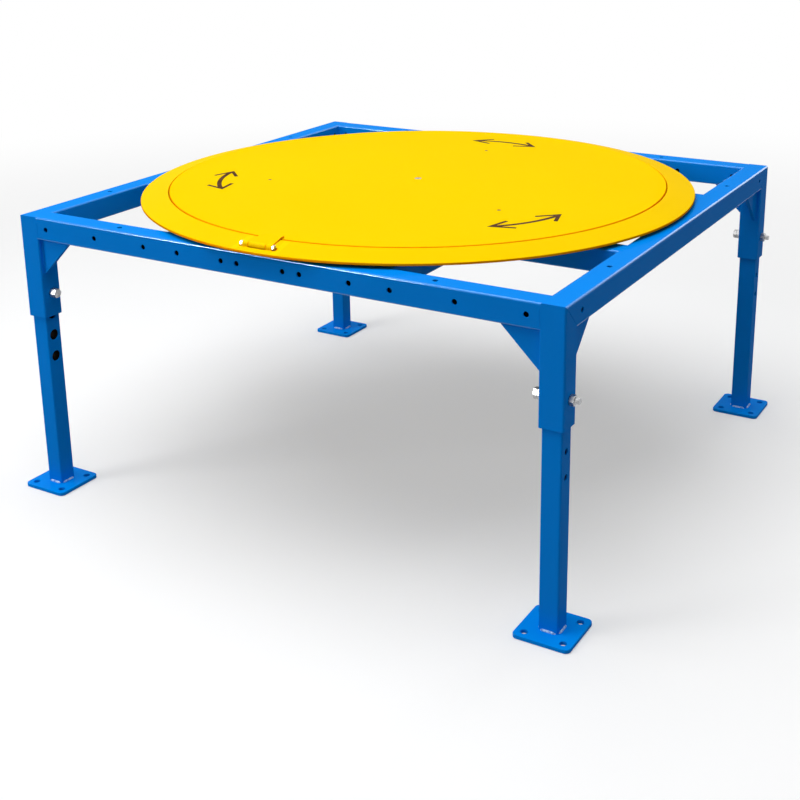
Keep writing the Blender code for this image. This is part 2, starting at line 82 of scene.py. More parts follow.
# blue paint on the weld, mixed with pale patches that are painted glints
weldPaintAndGlints = {
    "name": "weldBlueWithPaintedGlints", "tones": ((0.02, 0.26, 0.74), (0.66, 0.84, 1.0)), "toneScale": 170.0,
    "roughness": (0.18, 0.40), "roughnessScale": 300.0, "grainScale": 700.0, "grainDepth": 0.00030,
    "coat": 0.45, "coatRoughness": 0.08,
}
zincPlate = {
    "name": "zincPlate", "tones": ((0.32, 0.33, 0.35), (0.62, 0.62, 0.61)), "toneScale": 150.0,
    "roughness": (0.20, 0.38), "roughnessScale": 420.0, "grainScale": 1500.0, "grainDepth": 0.00006,
    "metallic": 1.0,
}
brightSteel = {
    "name": "groundSteel", "tones": ((0.50, 0.51, 0.53), (0.62, 0.62, 0.63)), "toneScale": 40.0,
    "roughness": (0.18, 0.34), "roughnessScale": 90.0, "grainScale": 700.0, "grainDepth": 0.00005,
    "metallic": 1.0, "stretch": (1.0, 1.0, 12.0),
}
bronzeLook = {
    "name": "sinteredBronze", "tones": ((0.44, 0.25, 0.08), (0.58, 0.36, 0.14)), "toneScale": 300.0,
    "roughness": (0.32, 0.52), "roughnessScale": 600.0, "grainScale": 1800.0, "grainDepth": 0.00010,
    "metallic": 1.0,
}
nylonLook = {
    "name": "naturalNylon", "tones": ((0.68, 0.66, 0.60), (0.78, 0.76, 0.71)), "toneScale": 60.0,
    "roughness": (0.42, 0.58), "roughnessScale": 80.0, "grainScale": 800.0, "grainDepth": 0.00006,
}
darkScrew = {
    "name": "oiledBlackScrew", "tones": ((0.10, 0.045, 0.02), (0.17, 0.08, 0.03)), "toneScale": 400.0,
    "roughness": (0.38, 0.60), "roughnessScale": 500.0, "grainScale": 1600.0, "grainDepth": 0.00006,
    "metallic": 0.4, "specular": 0.3,
}
darkPrint = {
    "name": "screenPrint", "tones": ((0.075, 0.034, 0.018), (0.115, 0.056, 0.032)), "toneScale": 70.0,
    "roughness": (0.40, 0.55), "roughnessScale": 160.0, "grainScale": 900.0, "grainDepth": 0.00004,
    "specular": 0.0, "coat": 0.02,
}

noiseLook = {"low": 0.32, "high": 0.68, "toneDetail": 4.0, "roughDetail": 3.0, "grainDetail": 2.0,
             "grainStrength": 0.35}
dustLook = {"scale": 11.0, "detail": 6.0, "colour": (0.72, 0.70, 0.68)}


def addNoise(tree, coords, scale, detail):
    noise = tree.nodes.new("ShaderNodeTexNoise")
    noise.inputs["Scale"].default_value = scale
    noise.inputs["Detail"].default_value = detail
    tree.links.new(coords, noise.inputs["Vector"])
    return noise.outputs["Fac"]


def addRange(tree, value, low, high):  # the noise's usual values, spread over low to high
    spread = tree.nodes.new("ShaderNodeMapRange")
    spread.inputs["From Min"].default_value = noiseLook["low"]
    spread.inputs["From Max"].default_value = noiseLook["high"]
    spread.inputs["To Min"].default_value = low
    spread.inputs["To Max"].default_value = high
    tree.links.new(value, spread.inputs["Value"])
    return spread.outputs["Result"]


def addMix(tree, share, first, second):
    mix = tree.nodes.new("ShaderNodeMix")
    mix.data_type = "RGBA"
    tree.links.new(share, mix.inputs["Factor"])
    for socket, colour in ((mix.inputs["A"], first), (mix.inputs["B"], second)):
        if isinstance(colour, tuple):
            socket.default_value = (*colour, 1.0)
        else:
            tree.links.new(colour, socket)
    return mix.outputs["Result"]


def makeFinish(look):
    material = bpy.data.materials.new(look["name"])
    material.use_nodes = True
    tree = material.node_tree
    shader = tree.nodes["Principled BSDF"]
    mapping = tree.nodes.new("ShaderNodeMapping")
    mapping.inputs["Scale"].default_value = look.get("stretch", (1.0, 1.0, 1.0))
    place = tree.nodes.new("ShaderNodeTexCoord")
    tree.links.new(place.outputs["Object"], mapping.inputs["Vector"])
    coords = mapping.outputs["Vector"]
    share = addRange(tree, addNoise(tree, coords, look["toneScale"], noiseLook["toneDetail"]), 0.0, 1.0)
    colour = addMix(tree, share, *look["tones"])
    if look.get("dust"):  # thin pale dust in broad uneven patches
        dust = addNoise(tree, coords, dustLook["scale"], dustLook["detail"])
        patches = addRange(tree, dust, 0.0, look["dust"])
        colour = addMix(tree, patches, colour, dustLook["colour"])
    tree.links.new(colour, shader.inputs["Base Color"])
    rough = addNoise(tree, coords, look["roughnessScale"], noiseLook["roughDetail"])
    tree.links.new(addRange(tree, rough, *look["roughness"]), shader.inputs["Roughness"])
    bump = tree.nodes.new("ShaderNodeBump")  # orange peel, casting skin or plating grain
    bump.inputs["Strength"].default_value = noiseLook["grainStrength"]
    bump.inputs["Distance"].default_value = look["grainDepth"]
    grain = addNoise(tree, coords, look["grainScale"], noiseLook["grainDetail"])
    tree.links.new(grain, bump.inputs["Height"])
    tree.links.new(bump.outputs["Normal"], shader.inputs["Normal"])
    shader.inputs["Metallic"].default_value = look.get("metallic", 0.0)
    shader.inputs["Specular IOR Level"].default_value = look.get("specular", 0.5)
    shader.inputs["Specular Tint"].default_value = (*look.get("shine", (1.0, 1.0, 1.0)), 1.0)
    shader.inputs["Coat Weight"].default_value = look.get("coat", 0.0)
    shader.inputs["Coat Roughness"].default_value = look.get("coatRoughness", 0.1)
    return material


blue = makeFinish(bluePaint)
litFootPlateBlue = makeFinish(litFootBlue)
glossyCorner = makeFinish(blueEdge)
tubeInsideShade = makeFinish(bareInsideShade)
yellow = makeFinish(yellowPaint)
discYellow = makeFinish(discPaint)
paintedEdgeShade = makeFinish(yellowEdgeShade)
barrelLitYellow = makeFinish(barrelLitPaint)
weld = makeFinish(weldPaintAndGlints)
zinc = makeFinish(zincPlate)
steel = makeFinish(brightSteel)
bronze = makeFinish(bronzeLook)
nylon = makeFinish(nylonLook)
blackened = makeFinish(darkScrew)
printed = makeFinish(darkPrint)
print("finishes made")


meshTools = {"cornerSteps": 8, "boltSides": 48, "holeSides": 32, "ringSides": 288, "plateSides": 192,
             "sharpAngle": 35, "bevelSteps": 2, "edgeSteps": 4}


def ringOf(radius, steps):
    return [(radius * cos(2 * pi * k / steps), radius * sin(2 * pi * k / steps)) for k in range(steps)]


def roundedSquare(width, radius, steps=meshTools["cornerSteps"]):
    points = []
    for quarter, (sx, sy) in enumerate(((1, 1), (-1, 1), (-1, -1), (1, -1))):
        for step in range(steps + 1):
            angle = pi / 2 * (quarter + step / steps)
            x = sx * (width / 2 - radius) + radius * cos(angle)
            y = sy * (width / 2 - radius) + radius * sin(angle)
            points.append((x, y))
    return points


def raised(outline, height):
    return [(x, y, height) for x, y in outline]


def stack(loops, closed=False, bm=None):  # joins loops of equal length, capped unless closed
    bm = bm or bmesh.new()
    rings = [[bm.verts.new(point) for point in loop] for loop in loops]
    pairs = list(zip(rings, rings[1:] + rings[:1])) if closed else list(zip(rings, rings[1:]))
    for lower, upper in pairs:
        for k in range(len(lower)):
            n = (k + 1) % len(lower)
            bm.faces.new((lower[k], lower[n], upper[n], upper[k]))
    if not closed:
        bm.faces.new(rings[0])
        bm.faces.new(rings[-1])
    return bm


def turned(profile, steps, closed=True):
    return stack([raised(ringOf(radius, steps), height) for radius, height in profile], closed)


def boxMesh(low, high):
    (x0, y0, z0), (x1, y1, z1) = low, high
    outline = [(x0, y0), (x1, y0), (x1, y1), (x0, y1)]
    return stack([raised(outline, z0), raised(outline, z1)])


def rods(places, radius, low, high, steps=meshTools["holeSides"]):
    bm = bmesh.new()
    for px, py in places:
        outline = [(px + x, py + y) for x, y in ringOf(radius, steps)]
        stack([raised(outline, low), raised(outline, high)], bm=bm)
    return bm


def plainObject(name, bm):
    bmesh.ops.recalc_face_normals(bm, faces=bm.faces)
    mesh = bpy.data.meshes.new(name)
    bm.to_mesh(mesh)
    bm.free()
    piece = bpy.data.objects.new(name, mesh)
    bpy.context.scene.collection.objects.link(piece)
    return piece


def shape(piece, tools):  # booleans, applied at once
    for tool, operation in tools:
        modifier = piece.modifiers.new("shape", "BOOLEAN")
        modifier.operation = operation
        modifier.object = tool
    bpy.context.view_layer.update()
    graph = bpy.context.evaluated_depsgraph_get()
    mesh = bpy.data.meshes.new_from_object(piece.evaluated_get(graph))
    piece.modifiers.clear()
    piece.data = mesh
    for tool, _ in tools:
        bpy.data.objects.remove(tool)


def finishPiece(piece, material, body, stands=(), rounding=0.0):
    mesh = piece.data
    mesh.materials.clear()
    mesh.materials.append(material)
    mesh.shade_smooth()
    mesh.set_sharp_from_angle(angle=radians(meshTools["sharpAngle"]))
    if rounding:
        bevel = piece.modifiers.new("edges", "BEVEL")
        bevel.width = rounding
        bevel.segments = meshTools["bevelSteps"]
        bevel.limit_method = "ANGLE"
        bevel.angle_limit = radians(meshTools["sharpAngle"])
    flatten = piece.modifiers.new("flatFaces", "WEIGHTED_NORMAL")  # keeps large faces flat
    flatten.keep_sharp = True
    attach(piece, body)
    if stands:
        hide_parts(*stands)
    return piece


def cutterFrom(bm, matrix):
    bm.transform(matrix)
    return plainObject("tool", bm)


towardsX = Matrix.Rotation(pi / 2, 4, "Y")
towardsY = Matrix.Rotation(-pi / 2, 4, "X")
corners = {"front_left": (-1, -1), "front_right": (1, -1), "rear_left": (-1, 1), "rear_right": (1, 1)}


def middleOf(node):
    low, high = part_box(node)
    return (low + high) / 2


tubeLook = {"size": 0.050, "wall": 0.003, "corner": 0.004, "rounding": 0.0004}
jointFill = 0.0009  # how far a plate runs into its neighbour, so that no slit shows
flushFill = tubeLook["corner"]  # a tube's end fills its neighbour's rounded corner, as a ground weld does
holeLook = {
    "radius": 0.0055,
    "fromMiddle": (0.055, 0.094, 0.206, 0.295),  # front and rear rails
    "fromEnd": (0.215, 0.075),
    "sideInset": 0.0695, "topInsetX": 0.267, "topInsetY": 0.2515,
}
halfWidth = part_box("right_rail")[1].x
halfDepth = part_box("right_rail")[1].y
railZ = middleOf("front_rail").z
faceTest = {"wallShare": 0.9, "flat": 0.99, "end": 0.1}  # tells a tube's faces apart


def squareTube(look, low, high, lowSlope=0.0, highSlope=0.0):
    outer = roundedSquare(look["size"], look["corner"])
    inner = roundedSquare(look["size"] - 2 * look["wall"], look["corner"] - look["wall"] / 2)

    def end(outline, height, slope):
        return [(x, y, height + slope * y) for x, y in outline]

    return stack([end(outer, low, lowSlope), end(outer, high, highSlope),
                  end(inner, high, highSlope), end(inner, low, lowSlope)], closed=True)


def markTube(piece, look, axis, middle):  # bare inside, darkened to near black as painted shade, and glossy corners on the level tubes
    mesh = piece.data
    mesh.materials.append(glossyCorner)
    mesh.materials.append(tubeInsideShade)
    run = "XYZ".index(axis)
    inside = look["size"] / 2 - faceTest["wallShare"] * look["wall"]
    for face in mesh.polygons:
        off = face.center - middle
        sideways = [abs(off[k]) for k in range(3) if k != run]
        tilted = max(abs(part) for part in face.normal) < faceTest["flat"]
        onCorner = abs(face.normal[run]) < faceTest["end"] and min(sideways) > inside - look["corner"]
        if max(sideways) < inside:
            face.material_index = 2
        elif axis != "Z" and tilted and onCorner:
            face.material_index = 1


def placedTube(node, look, axis, slopes=(0.0, 0.0), trim=0.0, tools=()):
    low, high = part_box(node)
    span = (high - low)["XYZ".index(axis)] / 2 - trim
    turn = {"X": towardsX, "Y": towardsY, "Z": Matrix.Identity(4)}[axis]
    bm = squareTube(look, -span, span, *slopes)
    bm.transform(Matrix.Translation((low + high) / 2) @ turn)
    piece = plainObject(node + "_tube", bm)
    if tools:
        shape(piece, [(tool, "DIFFERENCE") for tool in tools])
    finishPiece(piece, blue, "stand", [node], look["rounding"])
    markTube(piece, look, axis, (low + high) / 2)


def makeRails():
    reach = tubeLook["size"]
    acrossY = Matrix.Rotation(pi / 2, 4, "X")
    fromEnds = tuple(halfWidth - inset for inset in holeLook["fromEnd"])
    across = [(sign * x, 0) for x in holeLook["fromMiddle"] + fromEnds for sign in (-1, 1)]
    for node in ("front_rail", "rear_rail"):
        centre = Matrix.Translation(middleOf(node))
        through = cutterFrom(rods(across, holeLook["radius"], -reach, reach), centre @ acrossY)
        places = [(sign * (halfWidth - holeLook["topInsetX"]), 0) for sign in (-1, 1)]
        down = cutterFrom(rods(places, holeLook["radius"], 0, reach), centre)
        placedTube(node, tubeLook, "X", trim=-flushFill, tools=(through, down))
    for node in ("left_rail", "right_rail"):
        centre = Matrix.Translation(middleOf(node))
        places = [(0, sign * (halfDepth - holeLook["sideInset"])) for sign in (-1, 1)]
        through = cutterFrom(rods(places, holeLook["radius"], -reach, reach), centre @ towardsX)
        places = [(0, sign * (halfDepth - holeLook["topInsetY"])) for sign in (-1, 1)]
        down = cutterFrom(rods(places, holeLook["radius"], 0, reach), centre)
        placedTube(node, tubeLook, "Y", (1.0, -1.0), tubeLook["size"] / 2, (through, down))


def makeCrossMembers():
    for side in ("left", "right"):
        placedTube(f"cross_beam_{side}", tubeLook, "Y", trim=-flushFill)
    for row in ("front", "rear"):
        for column in ("left", "middle", "right"):
            placedTube(f"cross_tie_{row}_{column}", tubeLook, "X", trim=-flushFill)


legLook = {"size": 0.040, "wall": 0.003, "corner": 0.0035, "rounding": 0.0003,
           "boltHole": 0.0065, "accessHole": 0.012, "pitch": 0.050, "holes": 4}


def makePost(corner, sy):
    node = "post_" + corner
    low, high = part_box(node)
    middle = (low + high) / 2
    boltZ = middleOf("leg_bolt_" + corner).z
    bm = squareTube(tubeLook, low.z, high.z - tubeLook["size"] / 2, 0.0, float(sy))
    bm.transform(Matrix.Translation((middle.x, middle.y, 0)))
    piece = plainObject(node + "_tube", bm)
    place = Matrix.Translation((middle.x, middle.y, boltZ)) @ towardsX
    hole = cutterFrom(rods([(0, 0)], legLook["boltHole"], -tubeLook["size"], tubeLook["size"]), place)
    shape(piece, [(hole, "DIFFERENCE")])
    finishPiece(piece, blue, "stand", [node], tubeLook["rounding"])
    markTube(piece, tubeLook, "Z", middle)


def makeLeg(corner, sx):
    node = "leg_" + corner
    middle = middleOf(node)
    boltZ = middleOf("leg_bolt_" + corner).z
    reach = tubeLook["size"]
    tools = []
    for radius, low, high in ((legLook["boltHole"], 0, reach), (legLook["accessHole"], -reach, 0)):
        places = [(sx * step * legLook["pitch"], 0) for step in range(legLook["holes"])]
        place = Matrix.Translation((middle.x, middle.y, boltZ)) @ Matrix.Rotation(sx * pi / 2, 4, "Y")
        tools.append(cutterFrom(rods(places, radius, low, high), place))
    placedTube(node, legLook, "Z", tools=tools)


footLook = {"size": 0.115, "corner": 0.011, "hole": 0.007, "cut": (-0.02, 0.03), "spacing": 0.078,
            "rounding": 0.0010}


def makeFoot(corner):
    node = "foot_plate_" + corner
    low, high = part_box(node)
    middle = (low + high) / 2
    outline = roundedSquare(footLook["size"], footLook["corner"])
    bm = stack([raised(outline, low.z), raised(outline, high.z)])
    bm.transform(Matrix.Translation((middle.x, middle.y, 0)))
    piece = plainObject(node + "_plate", bm)
    half = footLook["spacing"] / 2
    places = [(x, y) for x in (-half, half) for y in (-half, half)]
    place = Matrix.Translation((middle.x, middle.y, 0))
    holes = cutterFrom(rods(places, footLook["hole"], *footLook["cut"]), place)
    shape(piece, [(holes, "DIFFERENCE")])
    # the foot plates take the lighter blue, painted light
    finishPiece(piece, litFootPlateBlue, "stand", [node], footLook["rounding"])


gussetLook = {"tip": 0.004, "rounding": 0.0007}


def makeGusset(corner, sx, sy, way):
    node = f"gusset_{corner}_{way}"
    low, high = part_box(node)
    tip = gussetLook["tip"]
    along = 0 if way == "across" else 1
    side = (sx, sy)[along]
    near, far = (low[along], high[along]) if side < 0 else (high[along], low[along])
    inward = -side
    near, top = near + side * jointFill, high.z + jointFill
    outline = [(near, top), (far, top), (far, high.z - tip), (near + inward * tip, low.z), (near, low.z)]
    faces = (low[1 - along], high[1 - along])
    if along == 0:
        bm = stack([[(a, face, z) for a, z in outline] for face in faces])
    else:
        bm = stack([[(face, a, z) for a, z in outline] for face in faces])
    finishPiece(plainObject(node + "_plate", bm), blue, "stand", [node], gussetLook["rounding"])


makeRails()
makeCrossMembers()
for corner, (sx, sy) in corners.items():
    makePost(corner, sy)
    makeLeg(corner, sx)
    makeFoot(corner)
    makeGusset(corner, sx, sy, "across")
    makeGusset(corner, sx, sy, "along")
print("frame made")


beadLook = {
    "sides": 10, "ripple": 0.0026, "rows": 6, "swell": 0.20, "taper": 6, "tip": 0.25, "wander": 0.10,
    "waves": (37, 211, 97), "footRadius": 0.0034, "footRise": 0.0006, "gussetRadius": 0.0019,
    "gussetInset": 0.004, "seamRadius": 0.0013, "sink": 0.5, "inset": 0.0045,
}


def addBead(bm, start, end, radius):  # a straight run of overlapping puddles
    start, end = Vector(start), Vector(end)
    run = end - start
    turn = run.to_track_quat("Z", "Y").to_matrix().to_4x4()
    rows = max(beadLook["rows"], int(run.length / beadLook["ripple"] * beadLook["rows"]))
    along, acrossX, acrossY = beadLook["waves"]
    loops = []
    for row in range(rows + 1):
        share = row / rows
        nearest = min(share, 1 - share)
        taper = min(1.0, beadLook["taper"] * nearest + beadLook["tip"])
        phase = (share * run.length / beadLook["ripple"]) % 1.0
        swell = 1 - beadLook["swell"] * abs(2 * phase - 1) ** 2
        wander = beadLook["wander"] * radius * sin(along * share + acrossX * start.x + acrossY * start.y)
        outline = ringOf(radius * taper * swell, beadLook["sides"])
        loops.append([(x + wander, y, run.length * share) for x, y in outline])
    bead = stack(loops)
    bead.transform(Matrix.Translation(start) @ turn)
    spare = bpy.data.meshes.new("bead")
    bead.to_mesh(spare)
    bead.free()
    bm.from_mesh(spare)
    bpy.data.meshes.remove(spare)


def makeFootWelds(corner):
    middle = middleOf("leg_" + corner)
    half = legLook["size"] / 2
    reach = half - beadLook["inset"]
    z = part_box("foot_plate_" + corner)[1].z + beadLook["footRise"]
    bm = bmesh.new()
    for side in (-1, 1):
        x, y = middle.x + side * half, middle.y + side * half
        addBead(bm, (middle.x - reach, y, z), (middle.x + reach, y, z), beadLook["footRadius"])
        addBead(bm, (x, middle.y - reach, z), (x, middle.y + reach, z), beadLook["footRadius"])
    # the foot welds carry painted glints in their colour
    finishPiece(plainObject("foot_weld_" + corner, bm), weld, "stand")


def makeFrameWelds(corner, sx, sy):
    bm = bmesh.new()
    butt = sx * (halfWidth - tubeLook["size"])
    face = sy * halfDepth
    inside = sy * (halfDepth - tubeLook["size"])
    inset, stop = beadLook["inset"], beadLook["gussetInset"]
    top, bottom = railZ + tubeLook["size"] / 2, railZ - tubeLook["size"] / 2
    seam = beadLook["seamRadius"]
    sink = beadLook["sink"] * seam  # most of the bead lies in the metal, as a dressed weld does
    for y in (face - sy * sink, inside + sy * sink):
        addBead(bm, (butt, y, bottom + inset), (butt, y, top - inset), seam)
    for way in ("across", "along"):
        low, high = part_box(f"gusset_{corner}_{way}")
        along = 0 if way == "across" else 1
        side = (sx, sy)[along]
        near, far = (low[along], high[along]) if side < 0 else (high[along], low[along])
        for edge in (low[1 - along], high[1 - along]):
            def spot(a, z):
                return (a, edge, z) if along == 0 else (edge, a, z)
            first, last = near - side * stop, far + side * stop
            addBead(bm, spot(first, high.z), spot(last, high.z), beadLook["gussetRadius"])
            addBead(bm, spot(near, high.z - stop), spot(near, low.z + stop), beadLook["gussetRadius"])
    finishPiece(plainObject("frame_weld_" + corner, bm), blue, "stand")


def makeCrossWelds():
    bm = bmesh.new()
    radius = beadLook["gussetRadius"]
    half = tubeLook["size"] / 2 - beadLook["inset"]
    lowZ = railZ - tubeLook["size"] / 2
    for side in ("left", "right"):
        low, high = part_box("cross_beam_" + side)
        x = (low.x + high.x) / 2
        for y in (low.y, high.y):
            addBead(bm, (x - half, y, lowZ), (x + half, y, lowZ), radius)
            for edge in (low.x, high.x):
                addBead(bm, (edge, y, lowZ + beadLook["inset"]), (edge, y, railZ + half), radius)
    for row in ("front", "rear"):
        for column in ("left", "middle", "right"):
            low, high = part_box(f"cross_tie_{row}_{column}")
            y = (low.y + high.y) / 2
            for x in (low.x, high.x):
                addBead(bm, (x, y - half, lowZ), (x, y + half, lowZ), radius)
                for edge in (low.y, high.y):
                    addBead(bm, (x, edge, lowZ + beadLook["inset"]), (x, edge, railZ + half), radius)
    finishPiece(plainObject("cross_welds", bm), blue, "stand")


for corner, (sx, sy) in corners.items():
    makeFootWelds(corner)
    makeFrameWelds(corner, sx, sy)
makeCrossWelds()
print("welds made")


boltLook = {"flats": 0.019, "radius": 0.006, "head": 0.0075, "pitch": 0.00175, "threadDepth": 0.00085,
            "thread": 0.024}
pinLook = {"flats": 0.010, "radius": 0.003, "head": 0.004, "pitch": 0.0006, "threadDepth": 0.0003,
           "thread": 0.006}
hexLook = {"faceShare": 0.475, "steps": 5, "widening": 1.06, "mouth": 0.0005}
threadLook = {"rows": 8, "tip": 0.9, "fade": 0.1, "start": 0.35}


def hexLoop(flats, height, limit):  # a hexagon whose corners are turned off at a radius
    steps = meshTools["boltSides"]
    loop = []
    for k in range(steps):
        angle = 2 * pi * k / steps
        local = (angle + pi / 6) % (pi / 3) - pi / 6
        radius = min(flats / 2 / cos(local), limit)
        loop.append((radius * cos(angle), radius * sin(angle), height))
    return loop


def chamferedHex(flats, low, high, bothEnds=True):
    face, full = hexLook["faceShare"] * flats, flats / 2 / cos(pi / 6)
    depth = (full - face) / tan(pi / 3)
    steps = hexLook["steps"]
    rise = [(face + (full - face) * k / steps, depth * k / steps) for k in range(steps + 1)]
    loops = [hexLoop(flats, low + drop, limit) for limit, drop in rise]
    upper = [hexLoop(flats, high - drop, limit) for limit, drop in reversed(rise)]
    return loops + (upper if bothEnds else [hexLoop(flats, high, full)])


def threadLoops(look, low, high):
    steps = meshTools["boltSides"]
    rows = int((high - low) / look["pitch"] * threadLook["rows"])
    loops = []
    for row in range(rows + 1):
        z = low + (high - low) * row / rows
        fade = min(1.0, (high - z) / look["pitch"] + threadLook["start"])
        size = threadLook["tip"] + threadLook["fade"] * fade
        loop = []
        for k in range(steps):
            phase = (z / look["pitch"] - k / steps) % 1.0
            crest = 1 - abs(2 * phase - 1)
            radius = (look["radius"] - look["threadDepth"] * (1 - crest)) * size
            loop.append((radius * cos(2 * pi * k / steps), radius * sin(2 * pi * k / steps), z))
        loops.append(loop)
    return loops


def hexBolt(look, length):  # head on the floor of local Z, thread at the top
    loops = chamferedHex(look["flats"], 0.0, look["head"], bothEnds=False)
    loops.append(raised(ringOf(look["radius"], meshTools["boltSides"]), look["head"]))
    return stack(loops + threadLoops(look, length - look["thread"], length))


def hexNut(flats, bore, length):
    loops = chamferedHex(flats, 0.0, length)
    wide, mouth = bore * hexLook["widening"], hexLook["mouth"]
    inner = [(wide, length), (bore, length - mouth), (bore, mouth), (wide, 0.0)]
    loops += [raised(ringOf(radius, meshTools["boltSides"]), height) for radius, height in inner]
    return stack(loops, closed=True)


def alongX(node, side):  # local Z runs outwards along X from the node's inner end
    low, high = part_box(node)
    middle = (low + high) / 2
    start = low.x if side > 0 else high.x
    place = Matrix.Translation((start, middle.y, middle.z)) @ Matrix.Rotation(side * pi / 2, 4, "Y")
    return place, high.x - low.x


def makeFastener(node, side, bm):
    place, _ = alongX(node, side)
    bm.transform(place)
    finishPiece(plainObject(node + "_part", bm), zinc, "stand", [node])


for corner, (sx, sy) in corners.items():
    node = "leg_bolt_" + corner
    makeFastener(node, sx, hexBolt(boltLook, alongX(node, sx)[1]))
    for kind in ("spacer_nut_", "locknut_"):
        length = alongX(kind + corner, sx)[1]
        makeFastener(kind + corner, sx, hexNut(boltLook["flats"], boltLook["radius"] + gap, length))
makeFastener("latch_pin", -1, hexBolt(pinLook, alongX("latch_pin", -1)[1]))
makeFastener("latch_nut", -1, hexNut(pinLook["flats"], pinLook["radius"] + gap, alongX("latch_nut", -1)[1]))
print("fasteners made")


unitLook = {
    "discThickness": 0.006, "edgeRadius": 0.0018, "lipTurn": 78, "ringGap": 0.002, "ringDrop": 0.001,
    "edgeHeight": 0.012, "ringThickness": 0.005, "ringWall": 0.006, "wallInset": 0.005, "clearance": 0.001,
    "cutMargin": 0.01, "plateRounding": 0.0006,
}
centreScrew = {"head": 0.008, "recess": 0.0027, "shank": 0.004, "socket": 0.006}
raceScrew = {"head": 0.0045, "recess": 0.0025, "shank": 0.0025, "socket": 0.003, "circle": 0.342}
screwLook = {"headHeight": 0.0025, "chamfer": 0.0006, "socketDepth": 0.0016, "cutAbove": 0.002}
latchLook = {
    "knuckle": 0.006, "knuckleGap": 0.0005, "tongueKnuckle": 0.041, "ringKnuckle": 0.0145, "width": 0.050,
    "chamfer": 0.0007, "thickness": 0.003, "root": 0.008, "bite": 0.010, "overlap": 0.001, "headRoom": 0.0075,
    "boreCut": 0.1, "liftClearance": 0.00056, "tipChamfer": 0.0008, "rounding": 0.0003,
}
edgeLook = {"cut": 0.6, "rounded": 0.97, "barrelEnd": 0.3, "plateTop": 0.5}  # limits on a face's normal; they pick the faces with painted shade and the barrel's faces with painted light
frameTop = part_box("front_rail")[1].z
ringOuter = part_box("ramp_ring")[1].x
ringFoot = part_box("ramp_ring")[0].z
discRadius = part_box("turntable_disc")[1].x
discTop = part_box("turntable_disc")[1].z
discBottom = discTop - unitLook["discThickness"]
ringInner = discRadius + unitLook["ringGap"]
ringSlope = (discTop - frameTop - unitLook["ringDrop"] - unitLook["edgeHeight"]) / (ringOuter - ringInner)
latchAxis = Vector(next(joint["pos_m"] for joint in frame["joints"] if joint["name"] == "latch_hinge"))


def rampHeight(radius):
    return frameTop + unitLook["edgeHeight"] + (ringOuter - radius) * ringSlope


def knuckleRod(width, middle, radius, chamfer=0.0, steps=meshTools["boltSides"]):
    low, high = middle - width / 2, middle + width / 2
    rings = [(radius, low), (radius, high)]
    if chamfer:
        small = radius - chamfer
        rings = [(small, low), (radius, low + chamfer), (radius, high - chamfer), (small, high)]
    bm = stack([raised(ringOf(size, steps), height) for size, height in rings])
    bm.transform(Matrix.Translation(latchAxis) @ towardsX)
    return bm


def screwPlaces():
    circle = raceScrew["circle"]
    return [(circle * cos(pi / 2 + 2 * pi * k / 3), circle * sin(pi / 2 + 2 * pi * k / 3)) for k in range(3)]


def roundCorner(radius, height, size, first, last, steps=meshTools["edgeSteps"]):
    points = []
    for k in range(steps + 1):
        angle = radians(first + (last - first) * k / steps)
        points.append((radius + size * cos(angle), height + size * sin(angle)))
    return points


def makeRing():
    size, thick = unitLook["edgeRadius"], unitLook["ringThickness"]
    wallIn = ringInner + unitLook["wallInset"]
    wallOut = wallIn + unitLook["ringWall"]
    slope = atan2(ringSlope, 1.0)
    lip = roundCorner(ringOuter - size, rampHeight(ringOuter) - size, size, 0, unitLook["lipTurn"])
    inner = roundCorner(ringInner + size, rampHeight(ringInner) - size, size, 90 - slope * 180 / pi, 180)
    profile = [(ringOuter, rampHeight(ringOuter) - thick)] + lip + inner + [
        (ringInner, rampHeight(ringInner) - thick), (wallIn, rampHeight(wallIn) - thick), (wallIn, ringFoot),
        (wallOut, ringFoot), (wallOut, rampHeight(wallOut) - thick)]
    ring = plainObject("ramp_ring_skin", turned(profile, meshTools["ringSides"]))
    clear = unitLook["clearance"]
    side = latchLook["width"] / 2 + clear
    root = latchAxis.y + latchLook["root"] - clear
    above = discTop + latchLook["knuckle"]
    seat = rampHeight(wallOut) - latchLook["thickness"] - 2 * clear
    room = latchLook["tongueKnuckle"] / 2 + latchLook["knuckleGap"]
    reach = latchLook["knuckle"] + clear
    cuts = [boxMesh((-side, root, seat), (side, unitLook["ringGap"] - discRadius, above)),
            boxMesh((-side, root, ringFoot), (side, -wallOut - clear, above)),
            boxMesh((-room, latchAxis.y - reach, ringFoot), (room, root + reach, above))]
    barrel = room + latchLook["ringKnuckle"]
    reach = pinLook["flats"] / 2 / cos(pi / 6) + gap
    far = barrel + latchLook["headRoom"]
    for sign in (-1, 1):
        lowX, highX = sorted((sign * (barrel - gap), sign * far))
        cuts.append(boxMesh((lowX, latchAxis.y - reach, latchAxis.z - reach),
                            (highX, latchAxis.y + reach, above)))
    tools = [(plainObject("tool", bm), "DIFFERENCE") for bm in cuts]
    for sign in (-1, 1):
        middle = sign * (room + latchLook["ringKnuckle"] / 2)
        barrelEnd = knuckleRod(latchLook["ringKnuckle"], middle, latchLook["knuckle"], latchLook["chamfer"])
        tools.append((plainObject("tool", barrelEnd), "UNION"))
    pinBore = knuckleRod(latchLook["boreCut"], 0, pinLook["radius"] + gap)
    tools.append((plainObject("tool", pinBore), "DIFFERENCE"))
    shape(ring, tools)
    finishPiece(ring, yellow, "stand", ["ramp_ring"])
    paintEdgeShadeAndBarrelLight(ring)


